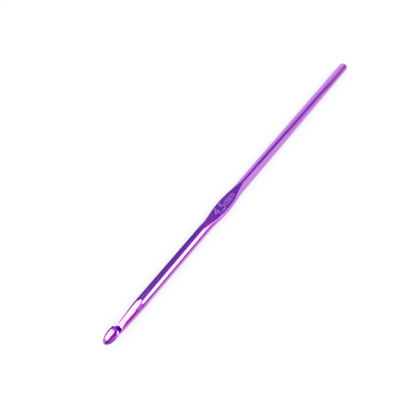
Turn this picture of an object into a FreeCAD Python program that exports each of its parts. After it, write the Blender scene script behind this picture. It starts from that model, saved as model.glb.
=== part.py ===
import FreeCAD, Part
import math
import os
import Sketcher
from FreeCAD import Vector

# One-piece crochet hook in 4.5 mm aluminium rod.
#
# The hook is drawn along its rod: X runs from the nose tip (x = 0) to the handle end, the rod axis is
# z = 0, and the mouth, the throat ramp and the upper flat of the thumb rest face +Z.
# It is drawn as four bodies that meet face to face on full sections of the rod: head, shank, thumb
# rest and handle. Their Placement centres the hook on X and lets the rod stand on z = 0.

# Driving sizes in millimetres: name, value, what it is
SIZES = [
    ("length", 160.0, "nose tip to handle end"),
    ("rod_diameter", 4.5, "the size of the hook, shank and handle alike"),
    ("nose_length", 3.5, "nose tip to the widest section of the head"),
    ("nose_height", 1.9, "nose tip above the rod axis"),
    ("head_width", 4.36, "widest section of the head, cheek to cheek"),
    ("cheek_height", 1.5, "cheeks above the rod axis in the widest section"),
    ("cheek_radius", 0.5, "rounding of the cheeks"),
    ("crown_radius", 3.6, "low dome between the cheeks"),
    ("keel_radius", 1.3, "narrow round back of the head"),
    ("keel_depth", 1.7, "back of the head below the rod axis"),
    ("tail_length", 5.0, "widest section to where the head closes, inside the neck"),
    ("tail_height", 2.05, "height above the rod axis that the head closes to"),
    ("lip_place", 6.05, "nose tip to the tip of the lip"),
    ("lip_underside", 2.05, "start of the lip's underside above the rod axis"),
    ("mouth_place", 5.5, "nose tip to the middle of the mouth's round bottom"),
    ("mouth_radius", 0.42, "round bottom of the mouth"),
    ("mouth_rounding", 0.12, "softened rim of the lip, the mouth and the ramp"),
    ("ramp_start", 6.6, "nose tip to the low end of the throat ramp"),
    ("ramp_height", 0.88, "ramp above the rod axis at its low end"),
    ("ramp_overlap", 3.1, "how far past the end of the taper the ramp runs out on the rod"),
    ("ramp_crown", 130.0, "long curve of the ramp"),
    ("root_curve", 10.0, "long curve that closes the neck inside the head"),
    ("throat_place", 6.2, "nose tip to the thinnest open stretch of the neck"),
    ("throat_radius", 1.64, "neck radius there"),
    ("throat_drop", 0.5, "neck centre below the rod axis there"),
    ("taper_end", 15.0, "nose tip to where the taper meets the rod"),
    ("taper_blend", 1.6, "length on either side of it over which the two blend"),
    ("plain_end", 1.7, "plain rod at the end of the head, where it meets the shank"),
    ("rest_place", 64.2, "nose tip to the middle of the thumb rest"),
    ("rest_length", 28.0, "thumb rest from shank to handle, with the plain rod that its flats run out on"),
    ("rest_swell", 0.77, "how far each side of the rest is squeezed out"),
    ("rest_half_length", 11.6, "middle of the rest to where the swelling ends"),
    ("flat_height", 1.475, "flats from the rod axis"),
    ("flat_half_length", 5.6, "middle of the rest to where its flats turn up"),
    ("flat_reach", 12.0, "middle of the rest to where the flats run out on the rod"),
    ("flat_blend", 18.0, "curve between a flat and its ramps"),
    ("flat_rounding", 0.15, "softened rim of the flats"),
    ("overrun", 1.0, "how far a cutter runs on past the surface of the rod"),
]
ROD_RADIUS = "sizes.rod_diameter / 2"
CUTTER_TOP = "sizes.rod_diameter"
DOME_START = f"sizes.length - {ROD_RADIUS}"
RAMP_END = "sizes.taper_end + sizes.ramp_overlap"
THROAT_TOP = "sizes.throat_radius - sizes.throat_drop"
CONE_END = "sizes.taper_end - sizes.taper_blend"
NECK_END = "sizes.taper_end + 2 * sizes.taper_blend"
HEAD_END = f"{NECK_END} + sizes.plain_end"
REST_START = "sizes.rest_place - sizes.rest_length / 2"
REST_END = "sizes.rest_place + sizes.rest_length / 2"
SWELL_START = "sizes.rest_place - sizes.rest_half_length"
SWELL_END = "sizes.rest_place + sizes.rest_half_length"

# Stations along the head in degrees: 0 at the nose tip, 90 at the widest section
NOSE_ANGLES = [18, 36, 54, 72, 90]
TAIL_ANGLES = [106, 122, 140, 160]

# Sketcher's numbers for the points of an edge and for its own axes, which start at the origin
START, END, CENTRE = range(1, 4)
LEVEL_AXIS, UPRIGHT_AXIS = range(-1, -3, -1)
ORIGIN_POINT = (LEVEL_AXIS, START)
QUARTER = math.pi / 2
TOLERANCE = 1e-4

doc = FreeCAD.newDocument("crochet_hook")

sheet = doc.addObject("Spreadsheet::Sheet", "sizes")
for row, (alias, value, meaning) in enumerate(SIZES, start=1):
    sheet.set(f"A{row}", alias)
    sheet.set(f"B{row}", str(value))
    sheet.set(f"C{row}", meaning)
    sheet.setAlias(f"B{row}", alias)
doc.recompute()


# --- Helpers --------------------------------------------------------------------------------------
def worked_out(formula):
    """The present value of a formula made of the sheet's sizes."""
    value = sheet.evalExpression(formula)
    return float(getattr(value, "Value", value))


def new_body(name):
    body = doc.addObject("PartDesign::Body", name)
    body.Label = name
    return body


def origin_plane(body, role):
    return next(feature for feature in body.Origin.OriginFeatures if feature.Role == role)


def new_sketch(body, name, plane, along="0"):
    """A sketch on an origin plane, moved along that plane's normal."""
    sketch = body.newObject("Sketcher::SketchObject", name)
    sketch.AttachmentSupport = [(origin_plane(body, plane), "")]
    sketch.MapMode = "FlatFace"
    sketch.setExpression("AttachmentOffset.Base.z", along)
    return sketch


def relate(sketch, *constraints):
    """Adds constraints that hold no number."""
    for constraint in constraints:
        sketch.addConstraint(Sketcher.Constraint(*constraint))


def measure(sketch, name, formula, kind, *where):
    """Adds a named dimension and binds it to a formula."""
    number = sketch.addConstraint(Sketcher.Constraint(kind, *where, worked_out(formula)))
    sketch.renameConstraint(number, name)
    sketch.setExpression(f"Constraints.{name}", formula)


def place_point(sketch, name, across, up, *point):
    """Fixes a point of a sketch by its two coordinates."""
    measure(sketch, f"{name}_across", across, "DistanceX", *ORIGIN_POINT, *point)
    measure(sketch, f"{name}_up", up, "DistanceY", *ORIGIN_POINT, *point)


def pass_through(sketch, name, across, up, *edges):
    """Makes edges of a sketch pass through a named place."""
    spot = Vector(worked_out(across), worked_out(up), 0)
    mark = sketch.addGeometry(Part.Point(spot), True)
    place_point(sketch, name, across, up, mark, START)
    for edge in edges:
        relate(sketch, ("PointOnObject", mark, START, edge))


def draw_line(sketch, first, second):
    return sketch.addGeometry(Part.LineSegment(Vector(*first, 0), Vector(*second, 0)))


def draw_arc(sketch, centre, radius, first, last):
    circle = Part.Circle(Vector(*centre, 0), Vector(0, 0, 1), radius)
    return sketch.addGeometry(Part.ArcOfCircle(circle, first, last))


def point_on(centre, radius, angle):
    return (centre[0] + radius * math.cos(angle), centre[1] + radius * math.sin(angle))


def round_section(body, name, place, radius, drop="0"):
    """A circle across the rod, its centre dropped below the rod axis."""
    sketch = new_sketch(body, name, "YZ_Plane", place)
    centre = Vector(0, -worked_out(drop), 0)
    circle = sketch.addGeometry(Part.Circle(centre, Vector(0, 0, 1), worked_out(radius)))
    measure(sketch, "radius", radius, "Radius", circle)
    place_point(sketch, "centre", "0", f"-({drop})", circle, CENTRE)
    return sketch


def loft_through(body, name, sections):
    doc.recompute()
    loft = body.newObject("PartDesign::AdditiveLoft", name)
    loft.Profile = sections[0]
    loft.Sections = sections[1:]
    doc.recompute()


def add_rod(body, name, start, end):
    """A straight stretch of the round rod."""
    section = round_section(body, f"{name}_section", start, ROD_RADIUS)
    pad = body.newObject("PartDesign::Pad", name)
    pad.Profile = section
    pad.setExpression("Length", f"{end} - ({start})")
    doc.recompute()


def mirror(body, name, feature, plane):
    mirrored = body.newObject("PartDesign::Mirrored", name)
    mirrored.Originals = [feature]
    mirrored.MirrorPlane = (origin_plane(body, plane), [""])
    body.Tip = mirrored
    doc.recompute()


def cut_across(body, name, outline):
    """Cuts a side-view outline right through a body, from one side to the other."""
    doc.recompute()
    before = body.Shape.Volume
    pocket = body.newObject("PartDesign::Pocket", name)
    pocket.Profile = outline
    pocket.Type = "ThroughAll"
    pocket.Midplane = True
    doc.recompute()
    if body.Shape.Volume >= before:
        raise RuntimeError(f"{name} cuts nothing")
    return pocket


def cut_faces(body, first, last):
    """The faces that side-view cutters left between two places along the rod.

    They are planes and cylinders that run straight across the hook.
    """
    faces = []
    for face in body.Shape.Faces:
        kind = face.Surface.TypeId
        if kind == "Part::GeomPlane":
            straight = abs(face.Surface.Axis.y) < TOLERANCE
        else:
            straight = kind == "Part::GeomCylinder" and abs(face.Surface.Axis.y) > 1 - TOLERANCE
        inside = first < face.BoundBox.XMin and face.BoundBox.XMax < last
        if straight and inside:
            faces.append(face)
    return faces


def soften_rim(body, name, faces, radius):
    """Rounds the edges that bound just one of these faces: the rim where they meet the old surface."""
    edges = [edge for face in faces for edge in face.Edges]
    rim = [edge for edge in edges if sum(edge.isSame(other) for other in edges) == 1]
    names = [
        f"Edge{number}"
        for number, edge in enumerate(body.Shape.Edges, start=1)
        if any(edge.isSame(other) for other in rim)
    ]
    rimmed = body.Tip
    fillet = body.newObject("PartDesign::Fillet", name)
    fillet.Base = (rimmed, names)
    fillet.setExpression("Radius", radius)
    body.Tip = fillet
    doc.recompute()


# --- Head -----------------------------------------------------------------------------------------
def head_section(head, name, place, waist, shrink):
    """A section of the head: low dome, two cheeks, straight flanks and a narrow round back.

    It is the widest section, shrunk by a factor towards the height waist.
    """
    cheek_across = f"(sizes.head_width / 2 - sizes.cheek_radius) * {shrink}"
    cheek_up = f"{waist} + (sizes.cheek_height - {waist}) * {shrink}"
    keel_up = f"{waist} + (sizes.keel_radius - sizes.keel_depth - {waist}) * {shrink}"
    rounds = {part: f"sizes.{part}_radius * {shrink}" for part in ("cheek", "keel", "crown")}

    across, high, low = worked_out(cheek_across), worked_out(cheek_up), worked_out(keel_up)
    cheek, keel, crown = (worked_out(rounds[part]) for part in ("cheek", "keel", "crown"))
    sink = math.sqrt((crown - cheek) ** 2 - across**2)
    shoulder = math.atan2(sink, across)
    centres_apart = math.hypot(across, high - low)
    flank = math.atan2(high - low, across) - math.acos((keel - cheek) / centres_apart)
    cheek_foot = point_on((across, high), cheek, flank)
    keel_side = point_on((0, low), keel, flank)

    sketch = new_sketch(head, name, "YZ_Plane", place)
    back = draw_arc(sketch, (0, low), keel, math.pi - flank, 2 * math.pi + flank)
    right_flank = draw_line(sketch, keel_side, cheek_foot)
    right_cheek = draw_arc(sketch, (across, high), cheek, flank, shoulder)
    dome = draw_arc(sketch, (0, high - sink), crown, shoulder, math.pi - shoulder)
    left_cheek = draw_arc(sketch, (-across, high), cheek, math.pi - shoulder, math.pi - flank)
    left_flank = draw_line(sketch, (-cheek_foot[0], cheek_foot[1]), (-keel_side[0], keel_side[1]))
    ring = [back, right_flank, right_cheek, dome, left_cheek, left_flank]
    for edge, following in zip(ring, ring[1:] + ring[:1]):
        relate(sketch, ("Tangent", edge, END, following, START))
    relate(
        sketch,
        ("Symmetric", right_cheek, CENTRE, left_cheek, CENTRE, UPRIGHT_AXIS),
        ("Equal", right_cheek, left_cheek),
        ("PointOnObject", back, CENTRE, UPRIGHT_AXIS),
    )
    place_point(sketch, "cheek", cheek_across, cheek_up, right_cheek, CENTRE)
    measure(sketch, "keel_up", keel_up, "DistanceY", *ORIGIN_POINT, back, CENTRE)
    measure(sketch, "cheek_round", rounds["cheek"], "Radius", right_cheek)
    measure(sketch, "crown_round", rounds["crown"], "Radius", dome)
    measure(sketch, "keel_round", rounds["keel"], "Radius", back)
    return sketch


def add_nose(head):
    """The closed nose, before the mouth is cut.

    Its outline is a quarter of an ellipse from the nose tip to the widest section and a longer one
    behind it, so each section is the widest one shrunk by the sine of its angle.
    """
    nose = new_sketch(head, "nose_tip", "YZ_Plane")
    tip = nose.addGeometry(Part.Point(Vector(0, worked_out("sizes.nose_height"), 0)))
    place_point(nose, "tip", "0", "sizes.nose_height", tip, START)
    sections = [nose]
    for angle in NOSE_ANGLES:
        place = f"sizes.nose_length * (1 - cos({angle} deg))"
        shrink = f"sin({angle} deg)"
        sections.append(head_section(head, f"nose_{angle}", place, "sizes.nose_height", shrink))
    for angle in TAIL_ANGLES:
        place = f"sizes.nose_length - sizes.tail_length * cos({angle} deg)"
        shrink = f"sin({angle} deg)"
        sections.append(head_section(head, f"tail_{angle}", place, "sizes.tail_height", shrink))
    loft_through(head, "nose", sections)


# --- Neck -----------------------------------------------------------------------------------------
def draw_neck_turning(head):
    """Half the neck's side view: its upper edge, its end, the axis it is turned on, its closing curve."""
    turning = new_sketch(head, "neck_turning", "XZ_Plane")
    throat = worked_out("sizes.throat_place")
    heel = worked_out("sizes.taper_end")
    top = worked_out(THROAT_TOP)
    curve = worked_out("sizes.root_curve")
    end_across = worked_out(CONE_END)
    dip = math.atan2(worked_out("sizes.throat_drop"), heel - throat)
    slope = math.atan2(worked_out(ROD_RADIUS) - top, heel - throat)
    curve_centre = point_on((throat, top), curve, slope - QUARTER)
    to_curve = math.atan2(curve_centre[1], curve_centre[0] - heel) - dip
    reach = math.dist(curve_centre, (heel, 0))
    half_chord = math.sqrt(curve**2 - (reach * math.sin(to_curve)) ** 2)
    root = point_on((heel, 0), reach * math.cos(to_curve) - half_chord, dip)
    root_angle = math.atan2(root[1] - curve_centre[1], root[0] - curve_centre[0])
    end_top = (end_across, top + (end_across - throat) * math.tan(slope))
    end_middle = (end_across, (end_across - heel) * math.tan(dip))

    upper = draw_line(turning, (throat, top), end_top)
    end = draw_line(turning, end_top, end_middle)
    core = draw_line(turning, end_middle, root)
    closing = draw_arc(turning, curve_centre, curve, slope + QUARTER, root_angle)
    axis = turning.addGeometry(Part.LineSegment(Vector(*root, 0), Vector(*end_middle, 0)), True)
    relate(
        turning,
        ("Coincident", upper, END, end, START),
        ("Coincident", end, END, core, START),
        ("Coincident", core, END, closing, END),
        ("Tangent", closing, START, upper, START),
        ("Perpendicular", end, core),
        ("Coincident", axis, START, core, END),
        ("Coincident", axis, END, core, START),
    )
    place_point(turning, "throat", "sizes.throat_place", THROAT_TOP, upper, START)
    measure(turning, "cone_end", CONE_END, "DistanceX", *ORIGIN_POINT, core, START)
    measure(turning, "closing_curve", "sizes.root_curve", "Radius", closing)
    pass_through(turning, "heel", "sizes.taper_end", ROD_RADIUS, upper)
    pass_through(turning, "axis_at_rod", "sizes.taper_end", "0", core)
    pass_through(turning, "axis_at_throat", "sizes.throat_place", "-sizes.throat_drop", core)
    return turning


def add_neck(head):
    """The tapered neck: a cone and a short blend from its end onto the rod.

    The cone's axis dips towards the nose, so the back of the hook stays almost straight.
    """
    turning = draw_neck_turning(head)
    doc.recompute()
    cone = head.newObject("PartDesign::Revolution", "neck")
    cone.Profile = turning
    cone.ReferenceAxis = (turning, ["Axis0"])
    doc.recompute()

    faces = cone.Shape.Faces
    cone_end = max(range(len(faces)), key=lambda number: faces[number].CenterOfMass.x)
    blend_end = round_section(head, "blend_end", "sizes.taper_end + sizes.taper_blend", ROD_RADIUS)
    rod_start = round_section(head, "rod_start", NECK_END, ROD_RADIUS)
    loft_through(head, "neck_blend", [(cone, [f"Face{cone_end + 1}"]), blend_end, rod_start])
    add_rod(head, "neck_rod", NECK_END, HEAD_END)


# --- Thumb rest -----------------------------------------------------------------------------------
def add_squeezed_sides(rest):
    """The swelling of the pressed rod: the rod bowed out to one side, and mirrored to the other."""
    path = new_sketch(rest, "bow", "XY_Plane")
    middle = worked_out("sizes.rest_place")
    half = worked_out("sizes.rest_half_length")
    swell = worked_out("sizes.rest_swell")
    turn = 2 * math.atan2(swell, half)
    bend = half / 2 / math.sin(turn)
    first = draw_arc(path, (middle - half, bend), bend, -QUARTER, turn - QUARTER)
    crest = draw_arc(path, (middle, swell - bend), bend, QUARTER - turn, QUARTER + turn)
    last = draw_arc(path, (middle + half, bend), bend, -QUARTER - turn, -QUARTER)
    relate(
        path,
        ("Tangent", first, END, crest, END),
        ("Tangent", crest, START, last, START),
        ("Equal", first, crest),
        ("Equal", crest, last),
        ("Vertical", first, START, first, CENTRE),
        ("Vertical", last, END, last, CENTRE),
    )
    place_point(path, "bow_start", SWELL_START, "0", first, START)
    place_point(path, "bow_end", SWELL_END, "0", last, END)
    pass_through(path, "peak", "sizes.rest_place", "sizes.rest_swell", crest)

    section = round_section(rest, "swell_section", SWELL_START, ROD_RADIUS)
    doc.recompute()
    side = rest.newObject("PartDesign::AdditivePipe", "squeezed_side")
    side.Profile = section
    side.Spine = path
    doc.recompute()
    mirror(rest, "squeezed_sides", side, "XZ_Plane")


def press_flats(rest):
    """The two lens-shaped flats: a level stretch with a shallow ramp at each end, above and below."""
    die = new_sketch(rest, "die", "XZ_Plane")
    middle = worked_out("sizes.rest_place")
    level = worked_out("sizes.flat_height")
    corner = worked_out("sizes.flat_half_length")
    reach = worked_out("sizes.flat_reach")
    surface = worked_out(ROD_RADIUS)
    blend = worked_out("sizes.flat_blend")
    top = worked_out(CUTTER_TOP)
    slope = math.atan2(surface - level, reach - corner)
    level_end = corner - blend * math.tan(slope / 2)
    blend_end, blend_up = point_on((level_end, level + blend), blend, slope - QUARTER)
    far = reach + worked_out("sizes.overrun")
    far_up = surface + (far - reach) * math.tan(slope)

    flat = draw_line(die, (middle - level_end, level), (middle + level_end, level))
    rise = draw_arc(die, (middle + level_end, level + blend), blend, -QUARTER, slope - QUARTER)
    ramp_out = draw_line(die, (middle + blend_end, blend_up), (middle + far, far_up))
    wall_out = draw_line(die, (middle + far, far_up), (middle + far, top))
    lid = draw_line(die, (middle + far, top), (middle - far, top))
    wall_in = draw_line(die, (middle - far, top), (middle - far, far_up))
    ramp_in = draw_line(die, (middle - far, far_up), (middle - blend_end, blend_up))
    fall = draw_arc(die, (middle - level_end, level + blend), blend, -QUARTER - slope, -QUARTER)
    relate(
        die,
        ("Tangent", flat, END, rise, START),
        ("Tangent", rise, END, ramp_out, START),
        ("Coincident", ramp_out, END, wall_out, START),
        ("Coincident", wall_out, END, lid, START),
        ("Coincident", lid, END, wall_in, START),
        ("Coincident", wall_in, END, ramp_in, START),
        ("Tangent", ramp_in, END, fall, START),
        ("Tangent", fall, END, flat, START),
        ("Horizontal", flat),
        ("Vertical", wall_out),
        ("Vertical", wall_in),
        ("Equal", rise, fall),
    )
    measure(die, "blend", "sizes.flat_blend", "Radius", rise)
    wall_reach = "(sizes.flat_reach + sizes.overrun)"
    place_point(die, "lid_out", f"sizes.rest_place + {wall_reach}", CUTTER_TOP, lid, START)
    place_point(die, "lid_in", f"sizes.rest_place - {wall_reach}", CUTTER_TOP, lid, END)
    corner_out = "sizes.rest_place + sizes.flat_half_length"
    corner_in = "sizes.rest_place - sizes.flat_half_length"
    pass_through(die, "corner_out", corner_out, "sizes.flat_height", ramp_out, flat)
    pass_through(die, "corner_in", corner_in, "sizes.flat_height", ramp_in)
    pass_through(die, "run_out", "sizes.rest_place + sizes.flat_reach", ROD_RADIUS, ramp_out)
    pass_through(die, "run_in", "sizes.rest_place - sizes.flat_reach", ROD_RADIUS, ramp_in)

    upper_flat = cut_across(rest, "upper_flat", die)
    mirror(rest, "both_flats", upper_flat, "XY_Plane")
    soften_rim(rest, "flat_rims", cut_faces(rest, middle - far, middle + far), "sizes.flat_rounding")


# --- Mouth and throat ramp ------------------------------------------------------------------------
def cut_mouth_and_ramp(head):
    """One cut shapes the lip, the undercut mouth with its round bottom, and the long throat ramp."""
    cutter = new_sketch(head, "mouth_and_ramp", "XZ_Plane")
    low = (worked_out("sizes.ramp_start"), worked_out("sizes.ramp_height"))
    high = (worked_out(RAMP_END), worked_out(ROD_RADIUS))
    crown = worked_out("sizes.ramp_crown")
    chord = math.dist(low, high)
    lean = math.atan2(high[1] - low[1], high[0] - low[0])
    middle = ((low[0] + high[0]) / 2, (low[1] + high[1]) / 2)
    ramp_centre = point_on(middle, math.sqrt(crown**2 - chord**2 / 4), lean - QUARTER)
    wall_across = high[0] + worked_out("sizes.overrun")
    ramp_high = math.acos((wall_across - ramp_centre[0]) / crown)

    lip = worked_out("sizes.lip_place")
    underside = worked_out("sizes.lip_underside")
    mouth = worked_out("sizes.mouth_radius")
    mouth_across = worked_out("sizes.mouth_place")
    ramp_low = math.acos((mouth_across - ramp_centre[0]) / (crown + mouth))
    mouth_centre = point_on(ramp_centre, crown + mouth, ramp_low)
    to_lip = math.atan2(underside - mouth_centre[1], lip - mouth_centre[0])
    touch = to_lip + math.acos(mouth / math.dist(mouth_centre, (lip, underside)))
    top = worked_out(CUTTER_TOP)

    lip_land = draw_line(cutter, (lip, top), (lip, underside))
    undercut = draw_line(cutter, (lip, underside), point_on(mouth_centre, mouth, touch))
    mouth_bottom = draw_arc(cutter, mouth_centre, mouth, touch, ramp_low + math.pi)
    ramp = draw_arc(cutter, ramp_centre, crown, ramp_high, ramp_low)
    wall = draw_line(cutter, point_on(ramp_centre, crown, ramp_high), (wall_across, top))
    lid = draw_line(cutter, (wall_across, top), (lip, top))
    relate(
        cutter,
        ("Coincident", lip_land, END, undercut, START),
        ("Tangent", undercut, END, mouth_bottom, START),
        ("Tangent", mouth_bottom, END, ramp, END),
        ("Coincident", ramp, START, wall, START),
        ("Coincident", wall, END, lid, START),
        ("Coincident", lid, END, lip_land, START),
        ("Vertical", lip_land),
        ("Vertical", wall),
    )
    place_point(cutter, "lip", "sizes.lip_place", CUTTER_TOP, lid, END)
    place_point(cutter, "far", f"{RAMP_END} + sizes.overrun", CUTTER_TOP, lid, START)
    measure(cutter, "underside", "sizes.lip_underside", "DistanceY", *ORIGIN_POINT, lip_land, END)
    measure(cutter, "mouth", "sizes.mouth_place", "DistanceX", *ORIGIN_POINT, mouth_bottom, CENTRE)
    measure(cutter, "mouth_round", "sizes.mouth_radius", "Radius", mouth_bottom)
    measure(cutter, "ramp_crown", "sizes.ramp_crown", "Radius", ramp)
    pass_through(cutter, "ramp_low", "sizes.ramp_start", "sizes.ramp_height", ramp)
    pass_through(cutter, "ramp_high", RAMP_END, ROD_RADIUS, ramp)

    cut_across(head, "mouth_and_throat", cutter)
    soften_rim(head, "mouth_rims", cut_faces(head, 0, wall_across), "sizes.mouth_rounding")


# --- Handle end -----------------------------------------------------------------------------------
def dome_end(handle):
    """The half ball that closes the rod."""
    ball = handle.newObject("PartDesign::AdditiveSphere", "domed_end")
    ball.AttachmentSupport = [(origin_plane(handle, "YZ_Plane"), "")]
    ball.MapMode = "FlatFace"
    ball.setExpression("AttachmentOffset.Base.z", DOME_START)
    ball.setExpression("Radius", ROD_RADIUS)
    doc.recompute()


head = new_body("head")
add_nose(head)
add_neck(head)
cut_mouth_and_ramp(head)

shank = new_body("shank")
add_rod(shank, "shank_rod", HEAD_END, REST_START)

thumb_rest = new_body("thumb_rest")
add_rod(thumb_rest, "rod_before_rest", REST_START, SWELL_START)
add_squeezed_sides(thumb_rest)
add_rod(thumb_rest, "rod_after_rest", SWELL_END, REST_END)
press_flats(thumb_rest)

handle = new_body("handle")
add_rod(handle, "handle_rod", REST_END, DOME_START)
dome_end(handle)

for body in (head, shank, thumb_rest, handle):
    body.setExpression("Placement.Base.x", "-sizes.length / 2")
    body.setExpression("Placement.Base.z", ROD_RADIUS)
doc.recompute()

# --- Check and export -----------------------------------------------------------------------------
for item in doc.Objects:
    if "Invalid" in item.State or "Error" in item.State:
        raise RuntimeError(f"{item.Name} failed: {item.State}")
os.makedirs("parts", exist_ok=True)
for body in (head, shank, thumb_rest, handle):
    if body.Shape.isNull() or not body.Shape.isValid() or len(body.Shape.Solids) != 1:
        raise RuntimeError(f"{body.Label} is not one valid solid")
    body.Shape.exportStep(f"parts/{body.Label}.step")
    box = body.Shape.optimalBoundingBox()
    print(
        f"{body.Label}: {body.Shape.Volume:.1f} mm3, X {box.XMin:.2f} to {box.XMax:.2f}, "
        f"{box.YLength:.2f} wide, {box.ZLength:.2f} high"
    )
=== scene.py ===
import math

import bmesh
import bpy
from mathutils import Matrix, Vector


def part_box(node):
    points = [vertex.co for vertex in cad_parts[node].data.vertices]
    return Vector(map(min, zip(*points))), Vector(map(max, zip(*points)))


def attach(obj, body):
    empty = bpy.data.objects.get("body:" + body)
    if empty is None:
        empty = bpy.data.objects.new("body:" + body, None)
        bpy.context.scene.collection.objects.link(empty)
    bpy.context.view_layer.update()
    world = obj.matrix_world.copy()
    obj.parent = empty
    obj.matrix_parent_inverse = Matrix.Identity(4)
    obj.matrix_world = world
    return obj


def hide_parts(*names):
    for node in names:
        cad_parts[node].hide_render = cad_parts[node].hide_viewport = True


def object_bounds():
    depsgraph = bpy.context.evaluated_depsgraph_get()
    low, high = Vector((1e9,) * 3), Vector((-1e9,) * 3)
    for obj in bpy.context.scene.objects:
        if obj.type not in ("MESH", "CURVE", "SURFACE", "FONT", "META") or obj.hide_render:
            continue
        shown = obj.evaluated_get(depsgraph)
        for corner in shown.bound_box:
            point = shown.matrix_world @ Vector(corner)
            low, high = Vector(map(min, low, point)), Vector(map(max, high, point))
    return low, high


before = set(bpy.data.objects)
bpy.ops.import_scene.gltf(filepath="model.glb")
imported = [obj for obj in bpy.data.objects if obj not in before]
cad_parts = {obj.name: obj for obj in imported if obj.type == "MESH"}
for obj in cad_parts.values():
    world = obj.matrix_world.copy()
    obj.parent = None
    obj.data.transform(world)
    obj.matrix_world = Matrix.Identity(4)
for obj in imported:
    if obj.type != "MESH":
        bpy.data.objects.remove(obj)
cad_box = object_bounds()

# A one-piece 4.5 mm crochet hook: a drawn aluminium rod, headed, milled, pressed, polished and anodised.
# Metres, in the model's own frame: X runs from the nose to the handle end, the rod axis is ROD_RADIUS
# above z = 0, and the mouth and the upper flat of the thumb rest face +Z.
MM = 0.001
ROD_RADIUS = 2.25 * MM
SEGMENTS = 256                 # faces round the rod
REST_RINGS = 160               # rings along the thumb rest and its run-outs
DOME_RINGS = 32                # rings from the side of the rod to the tip of its domed end
MERGE = 1e-7                   # points closer than this are one

# Thumb rest, measured from its middle
FLAT_HEIGHT = 1.475 * MM       # flats from the rod axis
FLAT_CORNER = 5.6 * MM         # where the level flat meets its ramps
FLAT_REACH = 12.0 * MM         # where the ramps run out on the rod
FLAT_BLEND = 18.0 * MM         # radius between flat and ramp
SWELL = 0.77 * MM              # how far each side is squeezed out
SWELL_REACH = 11.6 * MM        # where the swelling ends
RIM_SOFTNESS = 0.18 * MM       # height over which the rim of a flat is rounded
SETTLE = 3.0 * MM              # length over which the lines along the rod spread out evenly again
RIM_LINE = 28 * 2 * math.pi / SEGMENTS   # turn of the 28th line along the rod, a flat's rim
LEAST_RIM = math.radians(3)    # turn of that line where the flat runs out on the rod


# --- Small helpers --------------------------------------------------------------------------------
def linear(colour):
    """A colour written as sRGB hex, as the linear values that a shader takes."""
    channels = [int(colour[i:i + 2], 16) / 255 for i in (1, 3, 5)]
    return [c / 12.92 if c <= 0.04045 else ((c + 0.055) / 1.055) ** 2.4 for c in channels] + [1.0]


def add_node(tree, kind, settings=None, **inputs):
    """Adds a node, sets its properties, and links or sets its inputs.

    An input is named by its label with underscores, or by in_0, in_1 ... for its place.
    """
    node = tree.nodes.new(kind)
    for name, value in (settings or {}).items():
        setattr(node, name, value)
    for name, value in inputs.items():
        key = int(name[3:]) if name.startswith("in_") else name.replace("_", " ")
        if isinstance(value, bpy.types.NodeSocket):
            tree.links.new(value, node.inputs[key])
        else:
            node.inputs[key].default_value = value
    return node


def finish_piece(name, mesh, material, sharp_above):
    """Makes an object of a bmesh: smooth, with creases only where faces meet at more than an angle."""
    data = bpy.data.meshes.new(name)
    for face in mesh.faces:
        face.smooth = True
    for edge in mesh.edges:
        edge.smooth = not edge.is_manifold or edge.calc_face_angle() < sharp_above
    mesh.to_mesh(data)
    mesh.free()
    data.materials.append(material)
    piece = bpy.data.objects.new(name, data)
    bpy.context.scene.collection.objects.link(piece)
    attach(piece, "root")
    return piece


# --- Material -------------------------------------------------------------------------------------
HANDLING = 0.05                # roughness that handling adds where it is strongest
DRAWING = 0.05                 # roughness that the drawing lines add at most
LINE_DEPTH = 0.004 * MM        # depth of a drawing line


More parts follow.
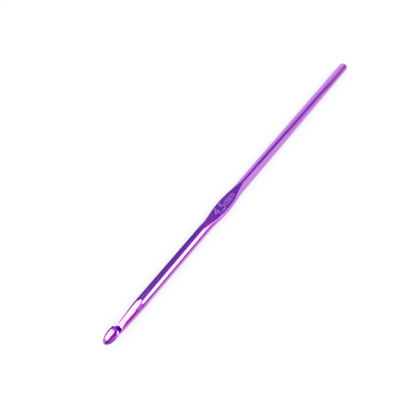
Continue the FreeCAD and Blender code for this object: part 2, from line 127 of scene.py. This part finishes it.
def anodised_aluminium(finish, roughness, dyes):
    """Anodised aluminium: drawn and polished metal under a thin, clear oxide layer that is dyed violet.

    It mirrors what is around it, tinted violet, with a whiter gloss from the oxide on top. Fine lines
    from drawing and polishing run along the rod, and handling has dulled it here and there. Where an
    edge rubs on the yarn the dye is thinner and the metal paler. The dye varies between two shades.
    """
    material = bpy.data.materials.new("anodised_aluminium_" + finish)
    material.use_nodes = True
    tree = material.node_tree
    shader = tree.nodes["Principled BSDF"]
    shader.inputs["Metallic"].default_value = 1.0
    # The clear oxide on top, smoother than the metal
    shader.inputs["Coat Weight"].default_value = 1.0
    shader.inputs["Coat Roughness"].default_value = 0.03
    shader.inputs["Coat IOR"].default_value = 1.6

    place = add_node(tree, "ShaderNodeTexCoord").outputs["Object"]
    # Drawing lines are about 0.02 mm wide: they are drawn 0.25 mm wide and 9 mm long, so that they show
    along_rod = add_node(
        tree, "ShaderNodeMapping", Vector=place, Scale=(1 / (9 * MM), 1 / (0.25 * MM), 1 / (0.25 * MM))
    )
    lines = add_node(
        tree, "ShaderNodeTexNoise", Vector=along_rod.outputs[0], Scale=1.0, Detail=3.0, Roughness=0.6
    )
    # Dull patches where fingers have held it, 5 mm across
    patches = add_node(tree, "ShaderNodeTexNoise", Vector=place, Scale=1 / (5 * MM), Detail=2.0)
    dull = add_node(
        tree,
        "ShaderNodeMapRange",
        Value=patches.outputs["Fac"],
        From_Min=0.35,
        From_Max=0.75,
        To_Min=roughness,
        To_Max=roughness + HANDLING,
    )
    rough = add_node(
        tree,
        "ShaderNodeMath",
        {"operation": "MULTIPLY_ADD"},
        in_0=lines.outputs["Fac"],
        in_1=DRAWING,
        in_2=dull.outputs[0],
    )
    tree.links.new(rough.outputs[0], shader.inputs["Roughness"])
    # The dye takes a little unevenly, and is thinner on worn edges
    dye = add_node(
        tree,
        "ShaderNodeMix",
        {"data_type": "RGBA"},
        Factor=patches.outputs["Fac"],
        A=linear(dyes[0]),
        B=linear(dyes[1]),
    )
    edges = add_node(
        tree,
        "ShaderNodeMapRange",
        Value=add_node(tree, "ShaderNodeNewGeometry").outputs["Pointiness"],
        From_Min=0.52,
        From_Max=0.62,
        To_Min=0.0,
        To_Max=0.35,
    )
    worn = add_node(
        tree,
        "ShaderNodeMix",
        {"data_type": "RGBA"},
        Factor=edges.outputs[0],
        A=dye.outputs["Result"],
        B=linear("#D9B4EE"),
    )
    tree.links.new(worn.outputs["Result"], shader.inputs["Base Color"])
    relief = add_node(
        tree, "ShaderNodeBump", Height=lines.outputs["Fac"], Strength=0.07, Distance=LINE_DEPTH
    )
    tree.links.new(relief.outputs[0], shader.inputs["Normal"])
    return material


# The rod is polished and mirrors sharply. The size mark is dull, and its paler dye is a painted highlight:
# it stands in for the light that its raised strokes catch.
METAL = anodised_aluminium("polished", 0.06, ("#AC56D6", "#B45CDE"))
PAINTED_HIGHLIGHT_MARK = anodised_aluminium("mark_painted_highlight", 0.30, ("#B886D8", "#C090E0"))


# --- Rod: shank, thumb rest and handle ------------------------------------------------------------
def rest_middle():
    """Where the middle of the thumb rest is along the rod."""
    return (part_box("thumb_rest")[0].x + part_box("thumb_rest")[1].x) / 2


def flat_height(along):
    """Height of a flat above the rod axis, at a distance from the middle of the rest."""
    slope = math.atan2(ROD_RADIUS - FLAT_HEIGHT, FLAT_REACH - FLAT_CORNER)
    blend_start = FLAT_CORNER - FLAT_BLEND * math.tan(slope / 2)
    blend_end = blend_start + FLAT_BLEND * math.sin(slope)
    if along <= blend_start:
        return FLAT_HEIGHT
    if along <= blend_end:
        return FLAT_HEIGHT + FLAT_BLEND - math.sqrt(FLAT_BLEND**2 - (along - blend_start) ** 2)
    return FLAT_HEIGHT + math.tan(slope) * (along - FLAT_CORNER)


def side_swell(along):
    """How far the sides are squeezed out, at a distance from the middle of the rest."""
    bend = SWELL_REACH / 2 / math.sin(2 * math.atan2(SWELL, SWELL_REACH))
    if along <= SWELL_REACH / 2:
        return SWELL - bend + math.sqrt(bend**2 - along**2)
    if along < SWELL_REACH:
        return bend - math.sqrt(bend**2 - (SWELL_REACH - along) ** 2)
    return 0.0


def lesser(a, b, softness):
    """The lesser of two heights, with the crossing rounded off."""
    near = max(softness - abs(a - b), 0.0) / softness
    return min(a, b) - near * near * softness / 4


def press_rest(mesh, middle):
    """Presses the thumb rest into the round rod: flats above and below, sides squeezed out."""
    for vert in mesh.verts:
        along = abs(vert.co.x - middle)
        if along > FLAT_REACH + SETTLE:
            continue
        height = min(flat_height(along), ROD_RADIUS)
        swell = side_swell(along)
        rim = max(math.acos(height / ROD_RADIUS), LEAST_RIM)
        if along > FLAT_REACH:
            settled = (along - FLAT_REACH) / SETTLE
            rim += (RIM_LINE - rim) * settled * settled * (3 - 2 * settled)
        up = vert.co.z - ROD_RADIUS
        turn = math.atan2(abs(vert.co.y), abs(up))
        if turn <= RIM_LINE:
            turned = turn * rim / RIM_LINE
        else:
            turned = rim + (turn - RIM_LINE) * (math.pi / 2 - rim) / (math.pi / 2 - RIM_LINE)
        across = ROD_RADIUS * math.sin(turned) + swell * min(turned / rim, 1.0)
        lifted = ROD_RADIUS * math.cos(turned)
        if along < FLAT_REACH:
            lifted = lesser(lifted, height, RIM_SOFTNESS)
        vert.co.y = math.copysign(across, vert.co.y)
        vert.co.z = ROD_RADIUS + math.copysign(lifted, up)


def rod():
    """The rod behind the head, turned about its axis and pressed at the thumb rest."""
    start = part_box("shank")[0].x
    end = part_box("handle")[1].x
    middle = rest_middle()
    outline = [(start, 0.0), (start, ROD_RADIUS)]
    reach = FLAT_REACH + SETTLE
    outline += [(middle - reach + 2 * reach * i / REST_RINGS, ROD_RADIUS) for i in range(REST_RINGS + 1)]
    for i in range(DOME_RINGS + 1):
        angle = math.pi / 2 * i / DOME_RINGS
        outline.append((end - ROD_RADIUS * (1 - math.sin(angle)), ROD_RADIUS * math.cos(angle)))
    mesh = bmesh.new()
    points = [mesh.verts.new((x, 0.0, ROD_RADIUS + r)) for x, r in outline]
    edges = [mesh.edges.new(pair) for pair in zip(points, points[1:])]
    bmesh.ops.spin(
        mesh,
        geom=points + edges,
        cent=(0.0, 0.0, ROD_RADIUS),
        axis=(1.0, 0.0, 0.0),
        angle=2 * math.pi,
        steps=SEGMENTS,
        use_merge=True,
    )
    bmesh.ops.remove_doubles(mesh, verts=mesh.verts, dist=MERGE)
    press_rest(mesh, middle)
    bmesh.ops.recalc_face_normals(mesh, faces=mesh.faces)
    piece = finish_piece("rod", mesh, METAL, sharp_above=math.radians(60))
    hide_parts("shank", "thumb_rest", "handle")


# --- Head -----------------------------------------------------------------------------------------
def head():
    """The head as it was milled, with its surface polished smooth."""
    mesh = bmesh.new()
    mesh.from_mesh(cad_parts["head"].data)
    bmesh.ops.remove_doubles(mesh, verts=mesh.verts, dist=MERGE)
    piece = finish_piece("polished_head", mesh, METAL, sharp_above=math.radians(50))
    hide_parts("head")


# --- Size mark ------------------------------------------------------------------------------------
MARK_BEVEL = 0.03 * MM         # round edge of a stroke
MARK_WALL = 0.01 * MM          # straight wall below that edge
MARK_THINNING = -0.005 * MM    # how much each side of a stroke is drawn in


def size_mark(name, words, height, narrowing, place):
    """A part of the size mark, laid on the upper flat and its curved ends.

    The narrowing is along the rod, and the place is its middle from that of the flat.
    """
    text = bpy.data.curves.new(name, "FONT")
    text.body = words
    text.size = height
    text.align_x = "CENTER"
    text.align_y = "CENTER"
    text.offset = MARK_THINNING
    text.extrude = MARK_WALL
    text.bevel_depth = MARK_BEVEL
    text.bevel_resolution = 2
    holder = bpy.data.objects.new(name + "_text", text)
    bpy.context.scene.collection.objects.link(holder)
    graph = bpy.context.evaluated_depsgraph_get()
    data = bpy.data.meshes.new_from_object(holder.evaluated_get(graph))
    bpy.data.objects.remove(holder)
    middle = rest_middle()
    mesh = bmesh.new()
    mesh.from_mesh(data)
    bmesh.ops.remove_doubles(mesh, verts=mesh.verts, dist=MERGE)
    bmesh.ops.scale(mesh, verts=mesh.verts, vec=(narrowing, 1.0, 1.0))
    bmesh.ops.translate(mesh, verts=mesh.verts, vec=(middle + place[0], place[1], ROD_RADIUS))
    for vert in mesh.verts:
        vert.co.z += flat_height(abs(vert.co.x - middle))
    # The mark takes the paler dye, a painted highlight for the light on its raised strokes
    finish_piece(name, mesh, PAINTED_HIGHLIGHT_MARK, sharp_above=math.radians(40))


rod()
head()
size_mark("size_number", "4.5", height=5.2 * MM, narrowing=0.92, place=(-1.98 * MM, 0.07 * MM))
size_mark("size_unit", "mm", height=4.4 * MM, narrowing=0.84, place=(4.0 * MM, 0.13 * MM))


# --- Studio ---------------------------------------------------------------------------------------
CARD_STEPS = 24                # flat faces round a curved card
TABLE_SIZE = 6.0               # from the middle to an edge, in metres
ABOVE_TABLE = 0.2              # how high a card lies above the table, in millimetres

scene = bpy.context.scene


def floor():
    """A large white table. What the camera and the metal see of it is white, with the hook's soft shadow."""
    material = bpy.data.materials.new("white_table")
    material.use_nodes = True
    tree = material.node_tree
    tree.nodes.clear()
    path = add_node(tree, "ShaderNodeLightPath")
    seen = add_node(
        tree,
        "ShaderNodeMath",
        {"operation": "ADD"},
        in_0=path.outputs["Is Camera Ray"],
        in_1=path.outputs["Is Glossy Ray"],
    )
    seen_through = add_node(
        tree,
        "ShaderNodeMath",
        {"operation": "ADD", "use_clamp": True},
        in_0=seen.outputs[0],
        in_1=path.outputs["Is Transmission Ray"],
    )
    glow = add_node(tree, "ShaderNodeEmission", Color=linear("#FFFFFF"), Strength=0.68)
    paint = add_node(tree, "ShaderNodeBsdfDiffuse", Color=linear("#8A8A8A"))
    white = add_node(tree, "ShaderNodeAddShader", in_0=glow.outputs[0], in_1=paint.outputs[0])
    plain = add_node(tree, "ShaderNodeBsdfDiffuse", Color=linear("#F4F4F4"))
    mixed = add_node(
        tree,
        "ShaderNodeMixShader",
        in_0=seen_through.outputs[0],
        in_1=plain.outputs[0],
        in_2=white.outputs[0],
    )
    add_node(tree, "ShaderNodeOutputMaterial", Surface=mixed.outputs[0])
    mesh = bmesh.new()
    bmesh.ops.create_grid(mesh, x_segments=1, y_segments=1, size=TABLE_SIZE)
    data = bpy.data.meshes.new("table")
    mesh.to_mesh(data)
    mesh.free()
    data.materials.append(material)
    table = bpy.data.objects.new("table", data)
    scene.collection.objects.link(table)


def card(name, along, starts, width, colour, strength, distance):
    """A curved card that only the metal mirrors: a softbox where it is bright, a flag where it is dark.

    It is part of a tube around the rod axis. All angles are in degrees from straight above: along the
    rod from one end of the card to the other, and about it, towards -Y, where each end starts. The
    width is how far it reaches about the rod from there.
    """
    mesh = bmesh.new()
    ends = []
    for reach, start in zip(along, starts):
        turn = math.radians(start)
        x = distance * math.tan(math.radians(reach))
        ends.append(mesh.verts.new((x, -distance * math.sin(turn), distance * math.cos(turn))))
    edge = mesh.edges.new(ends)
    bmesh.ops.spin(
        mesh,
        geom=ends + [edge],
        cent=(0, 0, 0),
        axis=(1, 0, 0),
        angle=math.radians(width),
        steps=CARD_STEPS,
    )
    bmesh.ops.translate(mesh, verts=mesh.verts, vec=(0, 0, ROD_RADIUS))
    stand(name, mesh, colour, strength)


def table_flag(name, along, across, colour, strength):
    """A dark or bright glowing sheet lying on the table beside the hook; the dark one behind the hook is
    painted shadow. The ranges are in millimetres.
    """
    mesh = bmesh.new()
    # A square of 1 x 1, stretched to the ranges
    bmesh.ops.create_grid(mesh, x_segments=1, y_segments=1, size=0.5)
    size = Vector((along[1] - along[0], across[1] - across[0], 1.0)) * MM
    middle = Vector(((along[0] + along[1]) / 2, (across[0] + across[1]) / 2, ABOVE_TABLE)) * MM
    bmesh.ops.scale(mesh, verts=mesh.verts, vec=size)
    bmesh.ops.translate(mesh, verts=mesh.verts, vec=middle)
    stand(name, mesh, colour, strength)


def stand(name, mesh, colour, strength):
    """Puts up a glowing card that the camera doesn't see and that casts no light or shadow."""
    material = bpy.data.materials.new(name)
    material.use_nodes = True
    tree = material.node_tree
    tree.nodes.clear()
    glow = add_node(tree, "ShaderNodeEmission", Color=linear(colour), Strength=strength)
    add_node(tree, "ShaderNodeOutputMaterial", Surface=glow.outputs[0])
    data = bpy.data.meshes.new(name)
    mesh.to_mesh(data)
    mesh.free()
    data.materials.append(material)
    piece = bpy.data.objects.new(name, data)
    scene.collection.objects.link(piece)
    piece.visible_camera = False
    piece.visible_diffuse = False
    piece.visible_shadow = False


def lamp(name, place, size, power):
    """A softbox that lights the table and casts the soft shadow."""
    data = bpy.data.lights.new(name, "AREA")
    data.shape = "SQUARE"
    data.size = size
    data.energy = power
    piece = bpy.data.objects.new(name, data)
    scene.collection.objects.link(piece)
    piece.location = place
    piece.rotation_euler = Vector(place).to_track_quat("Z", "Y").to_euler()
    piece.visible_camera = False
    piece.visible_glossy = False


floor()
# name, along, starts, width, colour, strength, distance from the rod axis in metres
# Around the shank and the thumb rest: a long bright stripe between dark flags
card("main_softbox", (-12.7, 8), (-8, -8), 70, "#FFF6FF", 6.0, 4.0)
card("main_softbox_rim", (-13.4, 13), (-10, -10), 74, "#FFEEFF", 2.0, 4.05)
card("overhead_flag", (-17, 15), (-86, -107), 106, "#7C68A8", 1.0, 3.9)
card("overhead_flag_pale", (-17, 15), (-52, -64), 50, "#9076BC", 1.0, 3.85)
card("table_edge_flag", (-16, 13), (67, 67), 22, "#C080A8", 0.7, 3.9)
# Around the head: light and dark strips that pick out the nose, the ramp and the neck
card("head_softbox", (-33.5, -17), (-63, -63), 54.5, "#FFF6FF", 6.6, 4.0)
card("nose_flag", (-50, -33.5), (-12, -12), 34, "#60406A", 0.8, 4.1)
card("throat_line", (-17.5, -13.4), (-8, -8), 44, "#9060A0", 0.6, 4.1)
card("throat_flag", (-60, -13), (-9, -9), 36, "#C878A4", 0.8, 4.2)
card("throat_card", (-60, -13), (26, 26), 16, "#FFE6FF", 1.1, 4.3)
card("throat_card_low", (-20, -13), (40, 40), 40, "#FFE0F8", 1.1, 4.3)
card("throat_flag_low", (-60, -20), (39, 39), 50, "#E08CB4", 0.8, 4.2)
card("throat_flag_end", (-20, -13), (78, 78), 12, "#D890BC", 0.8, 4.2)
card("back_flag", (-33.5, -17), (-89, -89), 26, "#8472AC", 1.0, 4.1)
# Around the handle, from the thumb rest on: a dark band between two light ones
card("rest_flag", (14, 25), (-46, -40), 49, "#A880C0", 1.0, 4.2)
card("handle_flag", (25, 36), (-40, -20), 56, "#9A78B4", 1.0, 4.2)
card("handle_flag_far", (36, 47), (-20, -2), 60, "#B888C0", 1.0, 4.2)
card("handle_card_back", (14, 66), (-89, -89), 93, "#F4FFEC", 1.3, 4.5)
card("handle_card_front", (10, 34), (4, 4), 85, "#E8FFD4", 1.6, 4.5)
card("handle_card_far", (34, 66), (4, 4), 85, "#FAFFE6", 1.15, 4.5)
card("handle_end_flag", (45, 66), (10, 10), 79, "#DCA8C0", 1.0, 4.3)
# On the table, mirrored low in the rod. The dark sheet behind the hook is painted shadow, for the hook's own
# shadow on the table there
table_flag("table_painted_shadow", (-94, -26), (4.5, 300), "#7C68A0", 1.0)
table_flag("table_flag_front", (-100, -20), (-300, -16), "#C088A8", 0.8)
table_flag("table_card_front", (-82, 86), (-16, -4), "#F2FFDC", 1.45)
lamp("key", place=(-0.2, -0.9, 1.3), size=1.2, power=12.0)

world = bpy.data.worlds.new("studio")
scene.world = world
world.use_nodes = True
world.node_tree.nodes["Background"].inputs["Color"].default_value = (1, 1, 1, 1)
world.node_tree.nodes["Background"].inputs["Strength"].default_value = 1.0

# --- Camera ---------------------------------------------------------------------------------------
LENS = 22.5
SENSOR = 36.0
LEAN = math.radians(19)            # camera leans to the -Y side of straight above the rod
LOOK_ALONG = math.radians(14.58)   # and looks a little towards the handle
LOOK_ACROSS = math.radians(2.41)   # and past the rod
ROLL = math.radians(49.43)         # the rod runs up to the right
SHIFT = (-0.0297, -0.0345)         # sideways and upright shift of the lens, as shares of the sensor
FOOT = 40.45 * MM                  # nose to the place on the rod that the camera stands over
DISTANCE = 104.15 * MM             # from that place to the camera


def camera():
    """The camera, close to the hook, so that the nose looks nearer than the handle end."""
    data = bpy.data.cameras.new("camera")
    data.lens = LENS
    data.sensor_width = SENSOR
    data.shift_x, data.shift_y = SHIFT
    data.clip_start = 0.005
    data.clip_end = 20
    eye = bpy.data.objects.new("camera", data)
    scene.collection.objects.link(eye)
    along = Vector((1, 0, 0))
    down = Vector((0, math.sin(LEAN), -math.cos(LEAN)))
    place = Vector((cad_box[0][0] + FOOT, 0, ROD_RADIUS)) - down * DISTANCE
    forward = along * math.sin(LOOK_ALONG) + down * math.cos(LOOK_ALONG)
    rod_way = along * math.cos(LOOK_ALONG) - down * math.sin(LOOK_ALONG)
    side = rod_way.cross(forward) * -1
    side_turned = side * math.cos(LOOK_ACROSS) + forward * math.sin(LOOK_ACROSS)
    forward = forward * math.cos(LOOK_ACROSS) - side * math.sin(LOOK_ACROSS)
    right = rod_way * math.cos(ROLL) + side_turned * math.sin(ROLL)
    up = rod_way * math.sin(ROLL) - side_turned * math.cos(ROLL)
    turn = Matrix((right, up, -forward)).transposed().to_4x4()
    eye.matrix_world = Matrix.Translation(place) @ turn
    scene.camera = eye


camera()
scene.view_settings.view_transform = "Standard"
